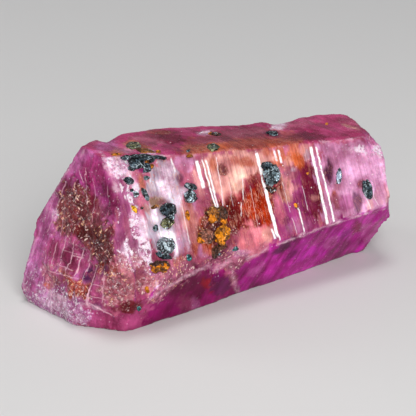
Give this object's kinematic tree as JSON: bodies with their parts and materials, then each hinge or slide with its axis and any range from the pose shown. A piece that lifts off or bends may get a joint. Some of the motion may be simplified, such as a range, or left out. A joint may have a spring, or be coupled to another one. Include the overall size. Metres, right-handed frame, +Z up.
{
  "type": "raw ruby crystal",
  "caption": "Raw ruby crystal: a stout six-sided corundum prism lying on one side face, with both ends broken and dark mineral grains in its faces.",
  "frame": {"origin": "middle of the bounding box, on the flat face that the crystal rests on", "axes": "+X along the prism from the stepped broken end to the chipped end, +Y to the back, +Z up"},
  "size_m": [0.0324, 0.0148, 0.0127],
  "materials": {
    "ruby": "raw corundum: glossy striated prism faces, frosted broken ends, dark mineral grains and rust stains",
    "dark_mineral": "grey-black metallic-looking mineral grains, many small bright facets",
    "iron_crust": "earthy brown to ochre iron crust"
  },
  "bodies": {
    "root": {"ruby_crystal": "ruby"}
  },
  "joints": []
}
